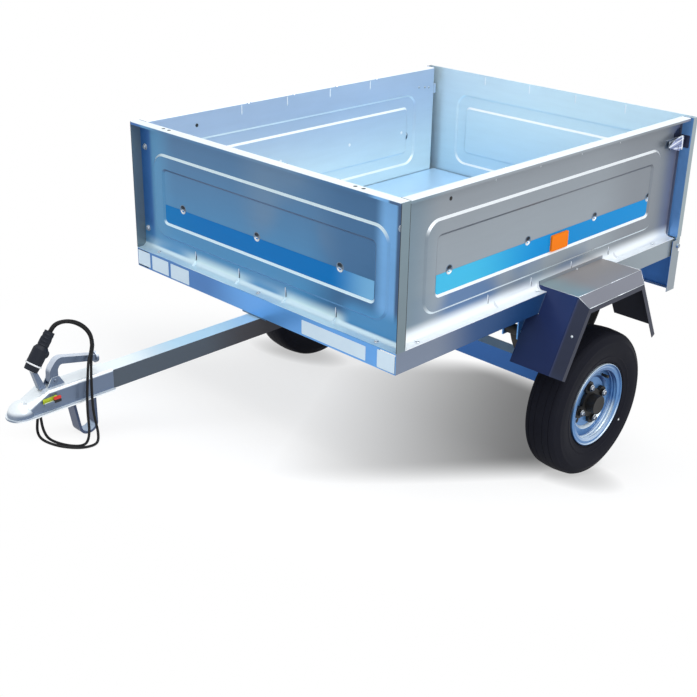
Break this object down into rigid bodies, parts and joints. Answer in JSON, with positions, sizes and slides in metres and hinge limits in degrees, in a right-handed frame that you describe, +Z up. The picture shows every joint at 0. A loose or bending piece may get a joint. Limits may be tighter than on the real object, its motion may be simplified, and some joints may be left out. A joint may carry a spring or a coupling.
{
  "type": "utility trailer",
  "caption": "Small utility trailer with a pressed sheet-metal load body, hinged tailgate, sprung axle, mudguards, tow-ball coupling and a stand hoop under its drawbar.",
  "frame": {"origin": "on the ground under the middle of the trailer parked nose down, half way between its ends and its sides", "axes": "+X towards the coupling, +Y to the trailer's left, +Z up; the trailer is stored parked, resting on its wheels and on the hoop under the drawbar, so its floor slopes down to the front by about 16 degrees"},
  "size_m": [1.8576, 1.196, 0.9993],
  "materials": {
    "axle_steel": "Black painted axle ends",
    "black_plastic": "Matt black moulded plastic",
    "cable": "Matt black cable sheath",
    "coupling_zinc": "Zinc-plated pressed steel, satin",
    "galvanised": "Bright zinc-coated sheet with a faint spangle",
    "gauge_yellow": "Yellow-green moulded plastic",
    "hub_black": "Black hub enamel",
    "lamp_red": "Red lamp lens plastic",
    "reflector_amber": "Amber reflector plastic",
    "spring_steel": "Black painted spring leaves",
    "tyre": "Matt black tyre rubber",
    "wheel_paint": "Silver wheel enamel"
  },
  "bodies": {
    "chassis": {"axle_beam": "galvanised", "ball_coupling": "coupling_zinc", "cable_far": "cable", "cable_near": "cable", "cable_outlet": "cable", "coupling_catch": "coupling_zinc", "coupling_handle": "coupling_zinc", "cross_member": "galvanised", "drawbar_front_plate": "galvanised", "drawbar_rear_plate": "galvanised", "drawbar_tube": "galvanised", "floor_board": "galvanised", "front_chassis_rail": "galvanised", "front_panel": "galvanised", "lamp_board": "galvanised", "left_chassis_rail": "galvanised", "left_gate_latch": "coupling_zinc", "left_latch_keeper": "black_plastic", "left_leaf_spring": "spring_steel", "left_mudguard": "galvanised", "left_rear_lamp": "lamp_red", "left_side_panel": "galvanised", "left_side_reflector": "reflector_amber", "left_spring_front_hanger": "galvanised", "left_spring_rear_hanger": "galvanised", "left_stub_axle": "axle_steel", "plug": "black_plastic", "rear_chassis_rail": "galvanised", "right_chassis_rail": "galvanised", "right_gate_latch": "coupling_zinc", "right_latch_keeper": "black_plastic", "right_leaf_spring": "spring_steel", "right_mudguard": "galvanised", "right_rear_lamp": "lamp_red", "right_side_panel": "galvanised", "right_side_reflector": "reflector_amber", "right_spring_front_hanger": "galvanised", "right_spring_rear_hanger": "galvanised", "right_stub_axle": "axle_steel", "stand_hoop": "galvanised", "wear_gauge": "gauge_yellow"},
    "wheel_left": {"left_hub": "hub_black", "left_tyre": "tyre", "left_wheel_rim": "wheel_paint"},
    "wheel_right": {"right_hub": "hub_black", "right_tyre": "tyre", "right_wheel_rim": "wheel_paint"},
    "tailgate": {"tailgate": "galvanised"}
  },
  "joints": [
    {"name": "left_wheel_spin", "type": "hinge", "parent": "chassis", "child": "wheel_left", "pos_m": [-0.47615, 0.531, 0.204], "axis": [0, 1, 0], "continuous": true},
    {"name": "right_wheel_spin", "type": "hinge", "parent": "chassis", "child": "wheel_right", "pos_m": [-0.47615, -0.531, 0.204], "axis": [0, 1, 0], "continuous": true},
    {"name": "tailgate_hinge", "type": "hinge", "parent": "chassis", "child": "tailgate", "pos_m": [-0.85343, 0, 0.63832], "axis": [0, -1, 0], "range_deg": [0, 90]}
  ]
}
